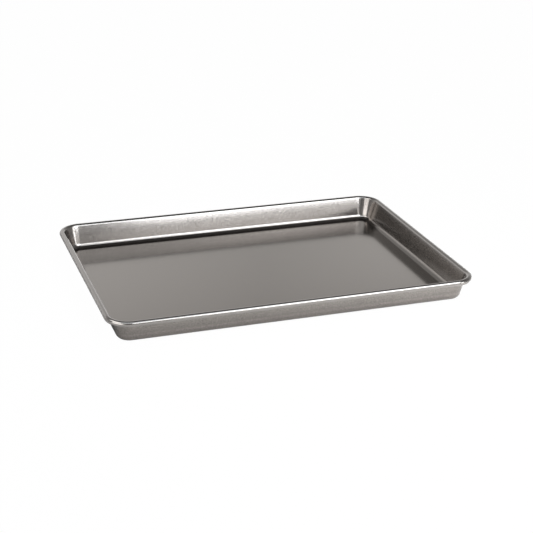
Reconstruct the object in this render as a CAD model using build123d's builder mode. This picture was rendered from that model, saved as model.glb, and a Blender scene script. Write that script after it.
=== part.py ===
"""A jelly roll pan: one drawn steel sheet whose rim is curled around a bent wire.

The pan stands on its flat bottom at z = 0 with its long side along X, and its origin is the middle of the
bottom. Lengths are in millimetres and angles in degrees. One section of the sheet is drawn from the axis
of a corner outward: bottom, bend, leaning wall and curl. It is turned about each corner's axis and carried
along the straight side that meets it, so the corners' walls, bends and curls run on from the sides. The
wall is bowed a little, as a drawn wall is: it leans more at the rim than at its foot.
"""
import os
from math import asin, cos, degrees, radians, sin

from build123d import *

# The pan over the outside of its rim
outer_length = 410.0
outer_width = 298.0
height = 27.5
rim_corner_radius = 26.0

# The drawn sheet
sheet_thickness = 0.8
rim_draft = 20.0
wall_bow_radius = 180.0
bottom_bend_radius = 7.5

# The curl and the wire inside it
wire_diameter = 4.4
wire_clearance = 0.2
wire_butt_gap = 1.0
curl_turn = 305.0

# The curl's radii, and where its centre stands from a corner's axis
curl_inner_radius = wire_diameter / 2 + wire_clearance
curl_outer_radius = curl_inner_radius + sheet_thickness
curl_centre_reach = rim_corner_radius - curl_outer_radius
curl_centre_height = height - curl_outer_radius

# The wall's arc touches the curl at the rim, so its centre lies past the curl's, on the line square to it
curl_to_wall_centre = wall_bow_radius - curl_inner_radius
wall_centre_reach = curl_centre_reach + curl_to_wall_centre * cos(radians(rim_draft))
wall_centre_height = curl_centre_height - curl_to_wall_centre * sin(radians(rim_draft))

# It touches the bend at its foot, where the line through both centres gives the draft
bend_to_wall_centre = wall_bow_radius + bottom_bend_radius
foot_draft = degrees(asin((bottom_bend_radius - wall_centre_height) / bend_to_wall_centre))
bottom_edge_reach = wall_centre_reach - bend_to_wall_centre * cos(radians(foot_draft))

# The corners' axes stand at the ends of the straight sides
straight_length = outer_length - 2 * rim_corner_radius
straight_width = outer_width - 2 * rim_corner_radius
corner_signs = ((1, 1), (-1, 1), (-1, -1), (1, -1))


def corner_plane(centre: tuple[float, float], angle: float) -> Plane:
    """Upright plane through a corner's axis, with its x outward at the angle and its y up."""
    outward = (cos(radians(angle)), sin(radians(angle)), 0)
    backward = (sin(radians(angle)), -cos(radians(angle)), 0)
    return Plane(origin=(*centre, 0), x_dir=outward, z_dir=backward)


def draw_sheet_face(depth: float) -> tuple[Vector, Vector]:
    """Draw one face of the sheet, at this depth above its underside, and give its two ends."""
    bottom = Line((0, depth), (bottom_edge_reach, depth))
    bend = JernArc(bottom @ 1, bottom % 1, bottom_bend_radius - depth, 90 - foot_draft)
    wall = JernArc(bend @ 1, bend % 1, wall_bow_radius + depth, foot_draft - rim_draft)
    curl = JernArc(wall @ 1, wall % 1, curl_inner_radius + depth, -curl_turn)
    return bottom @ 0, curl @ 1


def draw_sheet_section(plane: Plane) -> Sketch:
    """The sheet cut across, from the corner's axis to the cut edge at the end of the curl."""
    with BuildSketch(plane) as section:
        with BuildLine():
            under_axis, under_edge = draw_sheet_face(0)
            upper_axis, upper_edge = draw_sheet_face(sheet_thickness)
            Line(under_axis, upper_axis)
            Line(under_edge, upper_edge)
        make_face()
    return section.sketch


with BuildPart() as pan_shell:
    for quarter, (x_sign, y_sign) in enumerate(corner_signs):
        centre = (x_sign * straight_length / 2, y_sign * straight_width / 2)
        section = draw_sheet_section(corner_plane(centre, 90 * quarter))
        extrude(section, amount=straight_length if quarter % 2 else straight_width)
        revolve(section, axis=Axis((*centre, 0), (0, 0, 1)), revolution_arc=90)
    with BuildSketch():
        Rectangle(straight_length, straight_width)
    extrude(amount=sheet_thickness)

with BuildPart() as rim_wire:
    side_x = straight_length / 2 + curl_centre_reach
    side_y = straight_width / 2 + curl_centre_reach
    with BuildLine(Plane.XY.offset(curl_centre_height)) as wire_path:
        FilletPolyline(
            (wire_butt_gap / 2, side_y), (side_x, side_y), (side_x, -side_y),
            (-side_x, -side_y), (-side_x, side_y), (-wire_butt_gap / 2, side_y),
            radius=curl_centre_reach,
        )
    with BuildSketch(Plane(wire_path.line @ 0, z_dir=wire_path.line % 0)):
        Circle(wire_diameter / 2)
    sweep()

os.makedirs("parts", exist_ok=True)
for name, piece in (("pan_shell", pan_shell), ("rim_wire", rim_wire)):
    piece.part.label = name
    export_step(piece.part, f"parts/{name}.step")
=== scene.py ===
"""A jelly roll pan of satin steel with a wired rim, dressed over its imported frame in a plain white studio.

The sheet is one section carried round the rectangle of the corners' axes: bottom, bend, leaning wall and
the curl that closes over the wire. Lengths are in metres and angles in degrees, +Z is up, +X is along the
long side, and the pan stands on z = 0. Azimuths are measured from +Y towards +X.
"""

import logging
from dataclasses import dataclass
from enum import Enum

import bpy
import numpy as np
from mathutils import Matrix, Vector


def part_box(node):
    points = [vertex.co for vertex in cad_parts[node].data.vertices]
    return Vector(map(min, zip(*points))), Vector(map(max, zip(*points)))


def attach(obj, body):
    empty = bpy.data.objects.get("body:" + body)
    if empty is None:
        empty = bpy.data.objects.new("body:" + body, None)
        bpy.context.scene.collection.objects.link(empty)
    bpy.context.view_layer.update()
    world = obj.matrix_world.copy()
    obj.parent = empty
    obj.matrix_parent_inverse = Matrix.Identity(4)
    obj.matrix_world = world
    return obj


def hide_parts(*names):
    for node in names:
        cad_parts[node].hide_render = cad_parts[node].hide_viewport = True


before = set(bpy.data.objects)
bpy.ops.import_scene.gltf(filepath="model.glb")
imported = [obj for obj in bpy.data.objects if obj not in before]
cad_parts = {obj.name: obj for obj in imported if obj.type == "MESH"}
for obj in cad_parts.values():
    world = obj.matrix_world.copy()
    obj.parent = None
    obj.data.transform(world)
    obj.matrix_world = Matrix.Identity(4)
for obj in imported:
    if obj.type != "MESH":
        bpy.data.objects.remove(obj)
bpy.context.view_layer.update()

LOG = logging.getLogger("pan")
MM = 0.001

# A node's input takes a socket to link, or a plain number, vector or colour to set
Colour = tuple[float, float, float]
Value = bpy.types.NodeSocket | float | Colour


class Body(Enum):
    """The bodies that pieces ride on. The pan has no moving part, so there is one."""

    PAN = "root"


class Slot(Enum):
    """The record's material slots."""

    SHEET = "pan_finish"
    WIRE = "wire_steel"


class Worked(Enum):
    """The mesh attributes that say how the metal has been worked there, and where a lighter line is painted,
    each from 0 to 1.
    """

    DRAWN = "drawn_share"
    ROLLED = "rolled_share"
    # The share where a lighter line is painted round the outside, standing in for a brighter reflection
    RUBBED = "rubbed_share"
    CORNER = "corner_share"


def heading(azimuth: float, elevation: float) -> Vector:
    """Unit vector of a direction.

    Args:
        azimuth: degrees from +Y towards +X.
        elevation: degrees above the horizon.

    Returns:
        The unit vector.
    """
    a, e = np.radians(azimuth), np.radians(elevation)
    return Vector((np.sin(a) * np.cos(e), np.cos(a) * np.cos(e), np.sin(e)))


def facing(direction: Vector) -> Matrix:
    """The turn that points +Z along a direction and keeps +Y as upright as it can be."""
    return direction.to_track_quat("Z", "Y").to_matrix().to_4x4()


def arc(centre: tuple[float, float], radius: float, start: float, end: float, steps: int) -> np.ndarray:
    """Points of a circular arc: centre plus radius times (cosine, sine) of evenly spaced angles.

    Args:
        centre: the arc's centre.
        radius: its radius.
        start: first angle in radians.
        end: last angle in radians.
        steps: how many points.

    Returns:
        Array of shape (steps, 2).
    """
    angle = np.linspace(start, end, steps)
    return np.stack([centre[0] + radius * np.cos(angle), centre[1] + radius * np.sin(angle)], axis=-1)


def between(first: np.ndarray, last: np.ndarray, steps: int) -> np.ndarray:
    """Points strictly between two ends: first plus a rising share of the way to last.

    Args:
        first: one end.
        last: the other end.
        steps: how many points lie between them.

    Returns:
        Array of shape (steps, 2).
    """
    share = np.linspace(0, 1, steps + 2)[1:-1, None]
    return first + share * (last - first)


def place_mesh(name: str, vertices: np.ndarray, faces: list[list[int]]) -> bpy.types.Object:
    """A smooth-shaded mesh object in the scene.

    Args:
        name: the object's name.
        vertices: array of shape (points, 3).
        faces: the indices of each face's corners.

    Returns:
        The new object, linked to the scene.
    """
    mesh = bpy.data.meshes.new(name)
    mesh.from_pydata(vertices.tolist(), [], faces)
    mesh.polygons.foreach_set("use_smooth", np.ones(len(mesh.polygons), bool))
    piece = bpy.data.objects.new(name, mesh)
    bpy.context.scene.collection.objects.link(piece)
    return piece


def skin(name: str, points: np.ndarray, smooth_below: float = 40.0) -> bpy.types.Object:
    """A closed mesh from a grid whose columns close on themselves and whose end rows shrink to a point.

    Row i and row i + 1 are joined by quads, the last column is joined to the first, and the first and the
    last row become one vertex each with a fan of triangles.

    Args:
        name: the object's name.
        points: array of shape (rows, columns, 3).
        smooth_below: edges that turn by more than this many degrees stay sharp.

    Returns:
        The new object, linked to the scene.
    """
    rows, columns = points.shape[:2]
    inner = points[1:-1].reshape(-1, 3)
    vertices = np.concatenate([points[0, :1], inner, points[-1, :1]])
    index = 1 + np.arange(len(inner)).reshape(rows - 2, columns)
    turned = np.roll(index, -1, axis=1)
    quads = np.stack([index[:-1], turned[:-1], turned[1:], index[1:]], axis=-1).reshape(-1, 4)
    first = np.stack([np.zeros(columns, int), turned[0], index[0]], axis=-1)
    last = np.stack([np.full(columns, len(vertices) - 1), index[-1], turned[-1]], axis=-1)
    piece = place_mesh(name, vertices, quads.tolist() + first.tolist() + last.tolist())
    piece.data.set_sharp_from_angle(angle=np.radians(smooth_below))
    piece.data.update()
    return piece


def mark(piece: bpy.types.Object, name: Worked, shares: np.ndarray) -> None:
    """Give a skin's vertices a share each.

    Args:
        piece: an object made by skin.
        name: the attribute.
        shares: array of shape (rows, columns), like the grid that the skin was made from.
    """
    values = np.concatenate([shares[0, :1], shares[1:-1].ravel(), shares[-1, :1]])
    layer = piece.data.attributes.new(name.value, "FLOAT", "POINT")
    layer.data.foreach_set("value", values.astype(np.float32))


@dataclass(frozen=True)
class CornerPath:
    """The rectangle of the corners' axes, with the direction that points outward at each of its points.

    Along a side the axis point moves and the outward direction stays. At a corner the axis point stays and
    the outward direction turns by 90 degrees. So axis + reach * outward is a rounded rectangle.
    """

    half_length: float
    half_width: float
    corner_steps: int = 33
    spacing: float = 5 * MM

    def points(self) -> tuple[np.ndarray, np.ndarray]:
        """The path as whole arrays.

        Returns:
            The axis points and the outward directions, each of shape (columns, 2).
        """
        signs = np.array(((1, 1), (-1, 1), (-1, -1), (1, -1)))
        corners = signs * (self.half_length, self.half_width)
        axis, outward = [], []
        for quarter, corner in enumerate(corners):
            turn = arc((0.0, 0.0), 1.0, quarter * np.pi / 2, (quarter + 1) * np.pi / 2, self.corner_steps)
            following = corners[(quarter + 1) % len(corners)]
            steps = int(np.linalg.norm(following - corner) / self.spacing)
            side = between(corner, following, steps)
            axis += [np.repeat(corner[None], self.corner_steps, axis=0), side]
            outward += [turn, np.repeat(turn[-1:], steps, axis=0)]
        return np.concatenate(axis), np.concatenate(outward)

    @staticmethod
    def turning(outward: np.ndarray) -> np.ndarray:
        """How far each outward direction is inside a corner: 0 on the sides, 1 at the corner's middle."""
        return 2 * np.abs(outward[:, 0] * outward[:, 1])


@dataclass
class PanShell:
    """The drawn sheet: bottom, bend, wall and curled rim in one closed skin of real thickness."""

    length: float
    width: float
    height: float
    rim_corner_radius: float = 26.0 * MM
    sheet_thickness: float = 0.8 * MM
    bend_radius: float = 7.5 * MM
    wall_radius: float = 180.0 * MM
    rim_lean: float = 20.0
    curl_inner_radius: float = 2.4 * MM
    curl_turn: float = 305.0
    curl_grain: float = 0.3
    floor_rings: int = 16
    bend_steps: int = 25
    wall_steps: int = 9
    curl_steps: int = 73

    @property
    def curl_centre(self) -> tuple[float, float]:
        """The curl's centre, as reach from a corner's axis and height."""
        outer = self.curl_inner_radius + self.sheet_thickness
        return self.rim_corner_radius - outer, self.height - outer

    @property
    def foot_lean(self) -> float:
        """The wall's lean where it meets the bend.

        The wall is an arc that touches the curl at its own lean and the bend at this one. Both centres lie
        on lines through the wall's centre, so the heights of the three centres give the lean at the foot.

        Returns:
            The lean in radians.
        """
        to_curl = (self.wall_radius - self.curl_inner_radius) * np.sin(np.radians(self.rim_lean))
        rise = self.bend_radius - self.curl_centre[1] + to_curl
        return np.arcsin(rise / (self.wall_radius + self.bend_radius))

    @property
    def wall_centre(self) -> tuple[float, float]:
        """The wall arc's centre, out past the rim and below it, in line with the curl's centre.

        Returns:
            Its reach from a corner's axis and its height.
        """
        lean = np.radians(self.rim_lean)
        to_curl = self.wall_radius - self.curl_inner_radius
        return self.curl_centre[0] + to_curl * np.cos(lean), self.curl_centre[1] - to_curl * np.sin(lean)

    @property
    def bottom_reach(self) -> float:
        """How far the flat bottom goes past a corner's axis: to below the bend's centre."""
        return self.wall_centre[0] - (self.wall_radius + self.bend_radius) * np.cos(self.foot_lean)

    def path(self) -> CornerPath:
        """The rectangle of corner axes that the section is carried round."""
        inset = self.rim_corner_radius
        return CornerPath(self.length / 2 - inset, self.width / 2 - inset)

    def face(self, depth: float) -> np.ndarray:
        """One face of the sheet past the flat bottom: the arcs of bend, wall and curl, end to end.

        Args:
            depth: how far the face lies above the sheet's underside.

        Returns:
            Array of (reach, height) points from the bottom's edge to the cut edge.
        """
        foot, top = np.pi - self.foot_lean, np.pi - np.radians(self.rim_lean)
        bend = arc((self.bottom_reach, self.bend_radius), self.bend_radius - depth,
                   -np.pi / 2, -self.foot_lean, self.bend_steps)
        wall = arc(self.wall_centre, self.wall_radius + depth, foot, top, self.wall_steps)
        curl = arc(self.curl_centre, self.curl_inner_radius + depth,
                   top, top - np.radians(self.curl_turn), self.curl_steps)
        return np.concatenate([bend, wall[1:-1], curl])

    def section(self) -> tuple[np.ndarray, np.ndarray]:
        """The whole section from the middle of the floor, over the curl, to the middle of the underside.

        The floor's rings are the bottom's outline times a share that falls to zero at the middle. They
        stand closer together towards the bend, so that the flat's shading stays flat.

        Returns:
            (reach, height) points, and for each the share of the path that it stands on.
        """
        share = np.sin(np.linspace(0, np.pi / 2, self.floor_rings + 1))[:-1]
        inside, outside = self.face(self.sheet_thickness), self.face(0.0)[::-1]
        floor = np.stack([share * self.bottom_reach, np.full_like(share, self.sheet_thickness)], axis=-1)
        under = np.stack([share * self.bottom_reach, np.zeros_like(share)], axis=-1)[::-1]
        full = np.ones(len(inside) + len(outside))
        return np.concatenate([floor, inside, outside, under]), np.concatenate([share, full, share[::-1]])

    def over_grid(self, inside: np.ndarray, outside: np.ndarray, columns: np.ndarray) -> np.ndarray:
        """Shares for the whole grid: one for each row, and 0 on both flats, times one for each column.

        Args:
            inside: shares of the inside face's points, from the bend to the cut edge.
            outside: shares of the outside face's points, in the same order.
            columns: shares of the path's points.

        Returns:
            Array of shape (rows, columns).
        """
        flat = np.zeros(self.floor_rings)
        return np.outer(np.concatenate([flat, inside, outside[::-1], flat]), columns)

    def worked(self, corner: np.ndarray) -> dict[Worked, np.ndarray]:
        """How the press has worked each point of the grid, and where a lighter line is painted.

        The drawn share rises evenly from 0 to 1 over the bend, stays 1 up the wall and drops to the curl's
        grain on the curl, which the rollers have smoothed. The rolled share is 1 on the curl. The line share
        is 1 on one row round the outside, just over the bend, where a lighter line is painted to stand in
        for a brighter reflection. The corner share is the drawn share times the share of the corner.

        Args:
            corner: the share of the corner for each of the grid's columns.

        Returns:
            The shares for the grid's points, by their attribute.
        """
        bend = np.linspace(0, 1, self.bend_steps)
        wall = np.ones(self.wall_steps - 2)
        curl = np.ones(self.curl_steps)
        drawn = np.concatenate([bend, wall, self.curl_grain * curl])
        rolled = np.concatenate([0 * bend, 0 * wall, curl])
        # A painted lighter line on one row of the outside face, just over the bend
        unlined, painted_line = np.zeros((2, len(drawn)))
        painted_line[self.bend_steps] = 1.0
        everywhere = np.ones(len(corner))
        return {
            Worked.DRAWN: self.over_grid(drawn, drawn, everywhere),
            Worked.ROLLED: self.over_grid(rolled, rolled, everywhere),
            Worked.RUBBED: self.over_grid(unlined, painted_line, everywhere),
            Worked.CORNER: self.over_grid(drawn, drawn, corner),
        }

    def build(self, finish: "SatinSteel") -> bpy.types.Object:
        """Carry the section round the path and dress it.

        Point (i, j) is share_i * axis_j + reach_i * outward_j, at height_i.

        Args:
            finish: the sheet's finish.

        Returns:
            The shell's object.
        """
        section, share = self.section()
        axis, outward = self.path().points()
        flat = share[:, None, None] * axis + section[:, None, :1] * outward
        height = np.broadcast_to(section[:, None, 1:], flat.shape[:2] + (1,))
        shell = skin("pan_sheet", np.concatenate([flat, height], axis=-1))
        for name, shares in self.worked(CornerPath.turning(outward)).items():
            mark(shell, name, shares)
        shell.data.materials.append(finish.material())
        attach(shell, Body.PAN.value)
        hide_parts("pan_shell")
        return shell


@dataclass
class RimWire:
    """The wire inside the curl, bent to the rim's outline, with its ends butted on the back side."""

    shell: PanShell
    diameter: float = 4.4 * MM
    butt_gap: float = 1.0 * MM
    end_chamfer: float = 0.4 * MM
    round_steps: int = 25

    def spine(self) -> tuple[np.ndarray, np.ndarray]:
        """The wire's middle line from one butted end round to the other, and its outward directions.

        The path is taken from just past the gap on the back side. Its points near the gap give way to the
        wire's two ends.

        Returns:
            The points and directions, each of shape (columns, 2).
        """
        axis, outward = self.shell.path().points()
        reach = self.shell.curl_centre[0]
        back = np.flatnonzero((outward[:, 1] == 1.0) & (axis[:, 0] < -self.butt_gap / 2))[0]
        axis, outward = np.roll(axis, -back, axis=0), np.roll(outward, -back, axis=0)
        keep = ~((outward[:, 1] == 1.0) & (np.abs(axis[:, 0]) < self.butt_gap))
        axis, outward = axis[keep], outward[keep]
        ends = np.array(((-self.butt_gap / 2, axis[0, 1]), (self.butt_gap / 2, axis[0, 1])))
        axis = np.concatenate([ends[:1], axis, ends[1:]])
        outward = np.concatenate([outward[:1], outward, outward[:1]])
        return axis + reach * outward, outward

    def stations(self) -> tuple[np.ndarray, np.ndarray, np.ndarray]:
        """The circles that make the rod: the spine's, with both ends chamfered and closed in a point.

        Each end has three: a point and the end face's circle on the end itself, and a full circle the
        chamfer's depth further in. Both ends run the same way, as they meet on one side.

        Returns:
            The middles and outward directions, each of shape (columns, 2), and the radii.
        """
        spine, outward = self.spine()
        inward = (spine[1] - spine[0]) / np.linalg.norm(spine[1] - spine[0]) * self.end_chamfer
        first, last = spine[:1], spine[-1:]
        spine = np.concatenate([first, first, first + inward, spine[1:-1], last - inward, last, last])
        outward = np.concatenate([outward[:1], outward[:1], outward, outward[-1:], outward[-1:]])
        radius = np.full(len(spine), self.diameter / 2)
        radius[[1, -2]] -= self.end_chamfer
        radius[[0, -1]] = 0.0
        return spine, outward, radius

    def build(self, finish: "DrawnWire") -> bpy.types.Object:
        """Carry a circle along the stations: middle + cosine * outward, and sine up, times the radius.

        Args:
            finish: the wire's finish.

        Returns:
            The wire's object.
        """
        spine, outward, radius = self.stations()
        angle = np.linspace(0, 2 * np.pi, self.round_steps)[:-1]
        across = radius[:, None] * np.cos(angle)
        flat = spine[:, None] + across[..., None] * outward[:, None]
        rise = self.shell.curl_centre[1] + radius[:, None] * np.sin(angle)
        wire = skin("rim_wire_rod", np.concatenate([flat, rise[..., None]], axis=-1))
        wire.data.materials.append(finish.material())
        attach(wire, Body.PAN.value)
        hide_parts("rim_wire")
        return wire


class NodeSheet:
    """Short words for laying out a node tree."""

    def __init__(self, tree: bpy.types.NodeTree) -> None:
        """Start on an empty tree.

        Args:
            tree: the tree to fill.
        """
        self.tree = tree
        tree.nodes.clear()

    def add(self, kind: str, **settings: object) -> bpy.types.Node:
        """Place a node.

        Args:
            kind: the node's type name.
            settings: its properties.

        Returns:
            The node.
        """
        node = self.tree.nodes.new(kind)
        for key, value in settings.items():
            setattr(node, key, value)
        return node

    def join(self, source: bpy.types.NodeSocket, target: bpy.types.NodeSocket) -> None:
        """Link two sockets."""
        self.tree.links.new(source, target)

    def put(self, target: bpy.types.NodeSocket, value: Value) -> None:
        """Link a socket, or set a plain value.

        Args:
            target: the input.
            value: a socket, a number, a vector or an opaque colour.
        """
        if isinstance(value, bpy.types.NodeSocket):
            self.join(value, target)
        elif target.type == "RGBA":
            target.default_value = (*value, 1.0)
        else:
            target.default_value = value

    def feed(self, node: bpy.types.Node, values: dict[str, Value]) -> None:
        """Put each value into the node's input of that name.

        Args:
            node: the node to fill.
            values: what goes into its inputs, by their names.
        """
        for label, value in values.items():
            self.put(node.inputs[label], value)

    def maths(self, operation: str, *values: Value) -> bpy.types.NodeSocket:
        """A Math node's result.

        Args:
            operation: the node's operation.
            values: a socket or a number for each of its inputs.

        Returns:
            The result socket.
        """
        node = self.add("ShaderNodeMath", operation=operation)
        for target, value in zip(node.inputs, values):
            self.put(target, value)
        return node.outputs[0]

    def mix(self, kind: str, share: Value, first: Value, second: Value) -> bpy.types.NodeSocket:
        """What goes from the first to the second as the share goes from 0 to 1.

        Args:
            kind: the Mix node's data type.
            share: socket or number.
            first: socket or plain value.
            second: socket or plain value.

        Returns:
            The result socket.
        """
        node = self.add("ShaderNodeMix", data_type=kind)
        self.feed(node, {"Factor": share, "A": first, "B": second})
        return node.outputs["Result"]

    def blend(self, share: Value, first: Value, second: Value) -> bpy.types.NodeSocket:
        """A mix of two numbers."""
        return self.mix("FLOAT", share, first, second)

    def tint(self, share: Value, first: Value, second: Value) -> bpy.types.NodeSocket:
        """A mix of two colours."""
        return self.mix("RGBA", share, first, second)

    def noise(self, vector: Value, scale: Value, octaves: float, finer: float) -> bpy.types.NodeSocket:
        """A noise texture's value.

        Args:
            vector: where it is read.
            scale: features per metre, as a number or a socket.
            octaves: how many finer layers it adds.
            finer: how strong each finer layer is beside the one before.

        Returns:
            The value socket, about 0.5 on average.
        """
        node = self.add("ShaderNodeTexNoise", noise_dimensions="3D")
        self.feed(node, {"Vector": vector, "Scale": scale, "Detail": octaves, "Roughness": finer})
        return node.outputs["Fac"]

    def stretch(self, vector: Value, amounts: tuple[float, float, float]) -> bpy.types.NodeSocket:
        """Coordinates scaled by their own amount along each axis.

        Args:
            vector: the coordinates.
            amounts: the scale along X, Y and Z.

        Returns:
            The scaled coordinates' socket.
        """
        node = self.add("ShaderNodeMapping", vector_type="POINT")
        self.feed(node, {"Vector": vector, "Scale": amounts})
        return node.outputs["Vector"]

    def share(self, name: Worked) -> bpy.types.NodeSocket:
        """A mesh attribute's value."""
        return self.add("ShaderNodeAttribute", attribute_name=name.value).outputs["Fac"]


@dataclass(frozen=True)
class MetalGrain:
    """The node group of drawn marks and fine mottle that both metals use.

    The marks are noise read in coordinates that vary fast across them and slowly along them. The mottle is
    fine noise, alike all ways. The height is a mix of both, and the tone adds a slow part, which is coarser
    marks. Both outputs lie about the average.
    """

    name: str = "metal_grain"
    marks_octaves: float = 4.0
    marks_finer: float = 0.6
    mottle_octaves: float = 1.0
    mottle_finer: float = 0.5
    slow_octaves: float = 2.0
    slow_finer: float = 0.5
    slow_scale: float = 0.2
    average: float = 0.5

    def start(self) -> bpy.types.NodeTree:
        """The empty group with its sockets.

        Returns:
            The group, with inputs Marks Vector, Vector, Marks Scale, Mottle Scale, Mottle Share and Slow
            Share, and outputs Height and Tone.
        """
        group = bpy.data.node_groups.new(self.name, "ShaderNodeTree")
        for label in ("Marks Vector", "Vector"):
            group.interface.new_socket(label, in_out="INPUT", socket_type="NodeSocketVector")
        for label in ("Marks Scale", "Mottle Scale", "Mottle Share", "Slow Share"):
            group.interface.new_socket(label, in_out="INPUT", socket_type="NodeSocketFloat")
        for label in ("Height", "Tone"):
            group.interface.new_socket(label, in_out="OUTPUT", socket_type="NodeSocketFloat")
        return group

    def group(self) -> bpy.types.NodeTree:
        """The group, built the first time that it is asked for.

        Returns:
            The group.
        """
        if self.name in bpy.data.node_groups:
            return bpy.data.node_groups[self.name]
        group = self.start()
        sheet = NodeSheet(group)
        given = sheet.add("NodeGroupInput").outputs
        result = sheet.add("NodeGroupOutput").inputs
        place, scale = given["Marks Vector"], given["Marks Scale"]
        marks = sheet.noise(place, scale, self.marks_octaves, self.marks_finer)
        mottle = sheet.noise(given["Vector"], given["Mottle Scale"], self.mottle_octaves, self.mottle_finer)
        grain = sheet.blend(given["Mottle Share"], marks, mottle)
        coarse = sheet.maths("MULTIPLY", scale, self.slow_scale)
        slow = sheet.noise(place, coarse, self.slow_octaves, self.slow_finer)
        sheet.join(grain, result["Height"])
        sheet.join(sheet.blend(given["Slow Share"], grain, slow), result["Tone"])
        return group


@dataclass(frozen=True)
class Ground:
    """What a metal's grain is laid on. Each value is a socket or plain."""

    grained: Value
    colour: Value
    gain: Value
    roughness: Value


@dataclass(frozen=True)
class GrainedMetal:
    """A bare metal whose tone, roughness and relief follow its grain."""

    name: str
    colour: Colour
    roughness: float
    tone_swing: float
    roughness_swing: float
    marks_per_metre: float
    marks_stretch: tuple[float, float, float]
    mottle_per_metre: float
    mottle_share: float
    slow_share: float
    relief: float

    def ground(self, sheet: NodeSheet) -> Ground:
        """The metal before its grain: here the same all over, and grained all over."""
        return Ground(grained=1.0, colour=self.colour, gain=1.0, roughness=self.roughness)

    def grain(self, sheet: NodeSheet) -> tuple[bpy.types.NodeSocket, bpy.types.NodeSocket]:
        """Place the grain's group with this metal's values.

        Args:
            sheet: the material's nodes.

        Returns:
            The height and tone sockets, each about 0.5 on average.
        """
        node = sheet.add("ShaderNodeGroup", node_tree=MetalGrain().group())
        place = sheet.add("ShaderNodeTexCoord").outputs["Object"]
        sheet.feed(node, {
            "Marks Vector": sheet.stretch(place, self.marks_stretch),
            "Vector": place,
            "Marks Scale": self.marks_per_metre,
            "Mottle Scale": self.mottle_per_metre,
            "Mottle Share": self.mottle_share,
            "Slow Share": self.slow_share,
        })
        return node.outputs["Height"], node.outputs["Tone"]

    def material(self) -> bpy.types.Material:
        """Lay the grain on the ground.

        The swing is the tone less its average, times the grained share. The colour is the ground's times
        (gain + swing * tone swing). The roughness is the ground's plus swing * roughness swing. The bump is
        the height times the grained share, as deep as the relief.

        Returns:
            The material.
        """
        material = bpy.data.materials.new(self.name)
        material.use_nodes = True
        sheet = NodeSheet(material.node_tree)
        ground = self.ground(sheet)
        height, tone = self.grain(sheet)
        swing = sheet.maths("SUBTRACT", tone, MetalGrain.average)
        swing = sheet.maths("MULTIPLY", swing, ground.grained)
        gain = sheet.maths("ADD", ground.gain, sheet.maths("MULTIPLY", swing, self.tone_swing))
        rougher = sheet.maths("MULTIPLY", swing, self.roughness_swing)
        colour = sheet.add("ShaderNodeVectorMath", operation="SCALE")
        sheet.feed(colour, {"Vector": ground.colour, "Scale": gain})
        raised = sheet.maths("MULTIPLY", height, ground.grained)
        bump = sheet.add("ShaderNodeBump")
        sheet.feed(bump, {"Height": raised, "Distance": self.relief})
        shader = sheet.add("ShaderNodeBsdfPrincipled")
        sheet.feed(shader, {
            "Base Color": colour.outputs["Vector"],
            "Metallic": 1.0,
            "Roughness": sheet.maths("ADD", ground.roughness, rougher),
            "Normal": bump.outputs["Normal"],
        })
        sheet.join(shader.outputs["BSDF"], sheet.add("ShaderNodeOutputMaterial").inputs["Surface"])
        return material


@dataclass(frozen=True)
class SatinSteel(GrainedMetal):
    """The pan's finish: warm grey satin metal, smooth on the floor and grained where it has been worked."""

    name: str = "satin_steel"
    colour: Colour = (0.241, 0.221, 0.203)
    # The drawn and rolled colours are the floor's metal painted lighter, standing in for the brighter light
    # that the wall and curl mirror
    drawn_painted_lighter_colour: Colour = (0.290, 0.269, 0.252)
    rolled_painted_lighter_colour: Colour = (0.312, 0.294, 0.279)
    # Gain of the painted lighter line, which stands in for a brighter reflection
    painted_line_gain: float = 0.22
    roughness: float = 0.13
    drawn_roughness: float = 0.20
    rolled_roughness: float = 0.18
    corner_roughness: float = 0.17
    corner_falloff: float = 0.25
    tone_swing: float = 1.25
    roughness_swing: float = 0.10
    marks_per_metre: float = 150.0
    marks_stretch: tuple[float, float, float] = (0.4, 0.4, 4.0)
    mottle_per_metre: float = 900.0
    mottle_share: float = 0.95
    slow_share: float = 0.10
    relief: float = 0.005 * MM

    def ground(self, sheet: NodeSheet) -> Ground:
        """The floor's metal, rougher where it is drawn or rolled, with its colour painted lighter there to
        stand in for the brighter light that the wall and curl mirror, and a painted lighter line round the
        outside, just over the bend, that stands in for a brighter reflection.

        The corner's roughness comes in with the corner share to a power below 1, so that it fills most of
        each corner.

        Args:
            sheet: the material's nodes.

        Returns:
            The ground, grained where the metal is drawn.
        """
        drawn, rolled, painted_line, corner = (sheet.share(name) for name in Worked)
        # Painted lighter on the bend, wall and curl, for the brighter light that they mirror
        colour = sheet.tint(drawn, self.colour, self.drawn_painted_lighter_colour)
        colour = sheet.tint(rolled, colour, self.rolled_painted_lighter_colour)
        # The painted lighter line raises the colour's gain, standing in for a brighter reflection
        gain = sheet.maths("ADD", 1.0, sheet.maths("MULTIPLY", painted_line, self.painted_line_gain))
        roughness = sheet.blend(drawn, self.roughness, self.drawn_roughness)
        in_corner = sheet.maths("POWER", corner, self.corner_falloff)
        roughness = sheet.blend(in_corner, roughness, self.corner_roughness)
        roughness = sheet.blend(rolled, roughness, self.rolled_roughness)
        return Ground(grained=drawn, colour=colour, gain=gain, roughness=roughness)


@dataclass(frozen=True)
class DrawnWire(GrainedMetal):
    """The wire's finish: galvanised steel with drawing lines along it and a dull spangle."""

    name: str = "drawn_wire"
    colour: Colour = (0.44, 0.445, 0.455)
    roughness: float = 0.41
    tone_swing: float = 0.5
    roughness_swing: float = 0.3
    marks_per_metre: float = 400.0
    marks_stretch: tuple[float, float, float] = (0.1, 0.1, 4.0)
    mottle_per_metre: float = 1500.0
    mottle_share: float = 0.5
    slow_share: float = 0.3
    relief: float = 0.03 * MM


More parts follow.
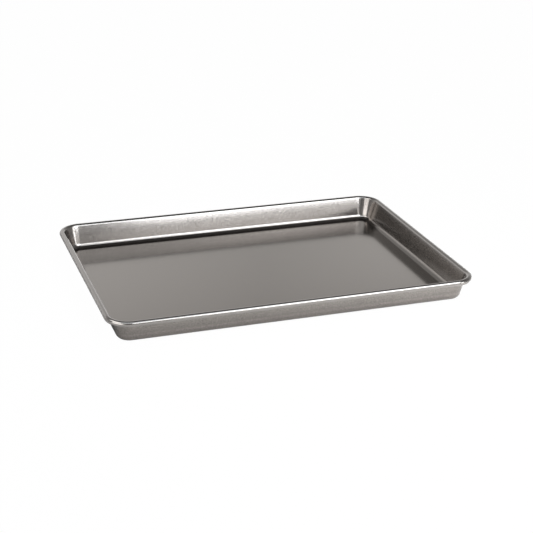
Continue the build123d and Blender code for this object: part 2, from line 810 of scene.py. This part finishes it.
@dataclass(frozen=True)
class Paper:
    """Studio paper that the camera sees nearly plain white, with a faint shadow under what stands on it.

    Everything else, the pan's metal among it, sees it as the lamps light it.
    """

    name: str
    colour: Colour
    camera_white: float = 0.99

    def glow(self, sheet: NodeSheet) -> bpy.types.NodeSocket:
        """The share of plain white that a ray sees: the camera's own rays see the camera's white."""
        camera = sheet.add("ShaderNodeLightPath").outputs["Is Camera Ray"]
        return sheet.maths("MULTIPLY", camera, self.camera_white)

    def material(self) -> bpy.types.Material:
        """Mix plain white with lit paper by the glow.

        Returns:
            The material.
        """
        material = bpy.data.materials.new(self.name)
        material.use_nodes = True
        sheet = NodeSheet(material.node_tree)
        paper = sheet.add("ShaderNodeBsdfDiffuse")
        sheet.put(paper.inputs["Color"], self.colour)
        mix = sheet.add("ShaderNodeMixShader")
        sheet.join(self.glow(sheet), mix.inputs["Fac"])
        sheet.join(paper.outputs["BSDF"], mix.inputs[1])
        sheet.join(sheet.add("ShaderNodeEmission").outputs["Emission"], mix.inputs[2])
        sheet.join(mix.outputs["Shader"], sheet.add("ShaderNodeOutputMaterial").inputs["Surface"])
        return material


@dataclass(frozen=True)
class MirroredPaper(Paper):
    """Paper that is near plain white in metal and glass too, and a little dimmer in its middle there."""

    middle: float = 1.05
    middle_glow: float = 0.78
    rise: float = 0.36

    def glow(self, sheet: NodeSheet) -> bpy.types.NodeSocket:
        """The share of plain white that a ray sees.

        Glossy and transmission rays see the middle's glow plus the rise times the distance from the middle
        along X, and at most 1. The camera's own rays see the camera's white.

        Args:
            sheet: the material's nodes.

        Returns:
            The share's socket.
        """
        path = sheet.add("ShaderNodeLightPath").outputs
        mirrored = sheet.maths("MAXIMUM", path["Is Glossy Ray"], path["Is Transmission Ray"])
        place = sheet.add("ShaderNodeSeparateXYZ")
        sheet.join(sheet.add("ShaderNodeTexCoord").outputs["Object"], place.inputs["Vector"])
        away = sheet.maths("ABSOLUTE", sheet.maths("SUBTRACT", place.outputs["X"], self.middle))
        level = sheet.maths("ADD", self.middle_glow, sheet.maths("MULTIPLY", away, self.rise))
        level = sheet.maths("MINIMUM", level, 1.0)
        return sheet.maths("MAXIMUM", super().glow(sheet), sheet.maths("MULTIPLY", mirrored, level))


@dataclass(frozen=True)
class Softbox:
    """A rectangular studio lamp that faces the middle of the pan.

    One that is mirrored shows in the metal and lights nothing else. One that isn't lights the paper alone,
    which the metal then mirrors. The camera sees neither.
    """

    name: str
    azimuth: float
    elevation: float
    width_angle: float
    height_angle: float
    radiance: float
    colour: Colour = (1.0, 1.0, 1.0)
    distance: float = 1.0
    mirrored: bool = True

    def across(self, angle: float) -> float:
        """The length that fills this angle, seen from the middle of the pan."""
        return 2 * self.distance * np.tan(np.radians(angle / 2))

    def build(self) -> bpy.types.Object:
        """Place the lamp. Its power is radiance times area times pi.

        Returns:
            The lamp's object.
        """
        lamp = bpy.data.lights.new(self.name, "AREA")
        lamp.shape = "RECTANGLE"
        lamp.size = self.across(self.width_angle)
        lamp.size_y = self.across(self.height_angle)
        lamp.energy = self.radiance * np.pi * lamp.size * lamp.size_y
        lamp.color = self.colour
        holder = bpy.data.objects.new(self.name, lamp)
        holder.visible_camera = False
        holder.visible_glossy = self.mirrored
        holder.visible_diffuse = not self.mirrored
        away = heading(self.azimuth, self.elevation)
        holder.matrix_world = Matrix.Translation(away * self.distance) @ facing(away)
        bpy.context.scene.collection.objects.link(holder)
        return holder


COOL: Colour = (0.955, 1.0, 1.045)
COOLER: Colour = (0.94, 1.0, 1.06)

# Each lamp by its azimuth, elevation, width and height, in degrees seen from the pan, and its radiance
KEY_BOXES = (
    Softbox("upper_key_box", 158.0, 39.5, 46.0, 15.0, 5.4, COOL),
    Softbox("lower_key_box", 155.0, 27.0, 32.0, 16.0, 4.7, COOL),
    Softbox("top_box", 192.5, 62.0, 72.0, 21.0, 2.3, COOLER),
)
RIGHT_BOXES = (
    Softbox("strip_box", 130.0, 12.0, 10.0, 20.0, 4.2, COOL),
    Softbox("right_box", 132.0, 50.0, 24.0, 36.0, 0.5),
    Softbox("low_right_box", 145.0, 9.0, 60.0, 14.0, 1.15),
)
TABLE_BOXES = (
    Softbox("table_box", 180.0, 80.0, 24.0, 24.0, 18.5, distance=0.6, mirrored=False),
    Softbox("front_table_box", 168.0, 38.0, 46.0, 30.0, 11.0, mirrored=False),
    Softbox("side_table_box", 128.0, 30.0, 24.0, 24.0, 7.8, distance=0.35, mirrored=False),
)
LEFT_BOXES = (
    Softbox("left_box", 245.0, 17.0, 40.0, 34.0, 2.0),
    Softbox("low_left_box", 240.0, 8.0, 50.0, 13.0, 1.1),
    Softbox("corner_box", 268.0, 44.0, 36.0, 18.0, 3.4),
)


@dataclass(frozen=True)
class Room:
    """The dim room round the studio: lightest low down on the backdrop's side, and white to the camera."""

    horizon: float = 0.55
    backdrop: float = 0.67
    ceiling: float = 0.15

    def build(self) -> bpy.types.World:
        """Light the world.

        In the unit direction (x, y, z) the level is (1 - (1 - ceiling) * z) * (horizon + backdrop * y),
        where y counts as zero below zero. To the camera it is at least 1, which is white.

        Returns:
            The world, set as the scene's.
        """
        world = bpy.data.worlds.new("dim_room")
        world.use_nodes = True
        sheet = NodeSheet(world.node_tree)
        toward = sheet.add("ShaderNodeSeparateXYZ")
        sheet.join(sheet.add("ShaderNodeTexCoord").outputs["Generated"], toward.inputs["Vector"])
        dimmed = sheet.maths("MULTIPLY", toward.outputs["Z"], 1.0 - self.ceiling)
        low = sheet.maths("SUBTRACT", 1.0, dimmed)
        ahead = sheet.maths("MAXIMUM", toward.outputs["Y"], 0.0)
        side = sheet.maths("ADD", sheet.maths("MULTIPLY", ahead, self.backdrop), self.horizon)
        camera = sheet.add("ShaderNodeLightPath").outputs["Is Camera Ray"]
        level = sheet.maths("MAXIMUM", sheet.maths("MULTIPLY", low, side), camera)
        background = sheet.add("ShaderNodeBackground")
        sheet.join(level, background.inputs["Strength"])
        sheet.join(background.outputs["Background"], sheet.add("ShaderNodeOutputWorld").inputs["Surface"])
        bpy.context.scene.world = world
        return world


@dataclass(frozen=True)
class Studio:
    """A paper-covered table and a paper backdrop behind the pan, in a dim room with softboxes."""

    table_reach: float = 8.0
    table_drop: float = 0.3 * MM
    table_paper: Paper = Paper("table_paper", (0.46, 0.46, 0.46))
    backdrop_turn: float = -1.0
    backdrop_half_width: float = 2.8
    backdrop_distance: float = 3.0
    backdrop_height: float = 1.55
    backdrop_bend: float = 0.6
    backdrop_bend_steps: int = 24
    backdrop_paper: Paper = MirroredPaper("backdrop_paper", (0.70, 0.70, 0.70))
    room: Room = Room()
    softboxes: tuple[Softbox, ...] = KEY_BOXES + RIGHT_BOXES + TABLE_BOXES + LEFT_BOXES

    @staticmethod
    def lay(name: str, line: np.ndarray, half_width: float, turn: float, paper: Paper) -> bpy.types.Object:
        """Lay a sheet of paper along a line of (distance, height) points away from the camera.

        Point (i, j) is the line's point i, moved by half the width to side j and turned about the vertical.

        Args:
            name: the object's name.
            line: array of (distance, height) points.
            half_width: half the sheet's width.
            turn: degrees from +Y towards +X.
            paper: what it is made of.

        Returns:
            The sheet's object.
        """
        away, side = heading(turn, 0.0), heading(turn + 90, 0.0)
        middle = line @ np.array((away, (0.0, 0.0, 1.0)))
        aside = half_width * np.array(side)
        rows = np.stack([middle - aside, middle + aside], axis=1)
        start = 2 * np.arange(len(line) - 1)
        quads = np.stack([start, start + 1, start + 3, start + 2], axis=-1)
        sheet = place_mesh(name, rows.reshape(-1, 3), quads.tolist())
        sheet.data.materials.append(paper.material())
        return sheet

    def table(self) -> bpy.types.Object:
        """Lay the wide table, just under the pan."""
        line = np.array(((-self.table_reach, -self.table_drop), (self.table_reach, -self.table_drop)))
        return self.lay("wide_table", line, self.table_reach, 0.0, self.table_paper)

    def backdrop(self) -> bpy.types.Object:
        """Stand the backdrop behind the pan: it leaves the table level, turns up by a quarter and stands.

        Returns:
            The backdrop's object.
        """
        foot = (self.backdrop_distance - self.backdrop_bend, self.backdrop_bend)
        bend = arc(foot, self.backdrop_bend, -np.pi / 2, 0.0, self.backdrop_bend_steps)
        line = np.concatenate([bend, ((self.backdrop_distance, self.backdrop_height),)])
        return self.lay("paper_backdrop", line, self.backdrop_half_width, self.backdrop_turn,
                        self.backdrop_paper)

    def build(self) -> None:
        """Place the table, the backdrop, the room and the lamps."""
        self.table()
        self.backdrop()
        self.room.build()
        for box in self.softboxes:
            box.build()
            LOG.info("lamp %s", box.name)


@dataclass(frozen=True)
class Viewpoint:
    """The camera at the photograph's angle, by where it looks, from how far and how it is turned."""

    azimuth: float = 19.1
    elevation: float = 22.22
    roll: float = 0.892
    distance: float = 1.452
    target: tuple[float, float, float] = (7.66 * MM, -7.67 * MM, 10.25 * MM)
    focal_length: float = 85.83
    sensor_width: float = 36.0

    def build(self) -> bpy.types.Object:
        """Place the camera.

        Returns:
            The camera's object.
        """
        lens = bpy.data.cameras.new("camera")
        lens.lens = self.focal_length
        lens.sensor_width = self.sensor_width
        lens.sensor_fit = "HORIZONTAL"
        camera = bpy.data.objects.new("camera", lens)
        bpy.context.scene.collection.objects.link(camera)
        view = heading(self.azimuth, -self.elevation)
        place = Matrix.Translation(Vector(self.target) - view * self.distance)
        camera.matrix_world = place @ facing(-view) @ Matrix.Rotation(np.radians(self.roll), 4, "Z")
        bpy.context.scene.camera = camera
        return camera


def main() -> None:
    """Build the pan and its studio, and report each piece."""
    logging.basicConfig(level=logging.INFO, format="%(name)s: %(message)s")
    low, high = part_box("pan_shell")
    size = high - low
    shell = PanShell(length=size.x, width=size.y, height=size.z)
    for piece in (shell.build(SatinSteel()), RimWire(shell).build(DrawnWire())):
        LOG.info("piece %s: %d faces", piece.name, len(piece.data.polygons))
    Studio().build()
    Viewpoint().build()
    bpy.context.scene.view_settings.view_transform = "Standard"


if __name__ == "__main__":
    main()
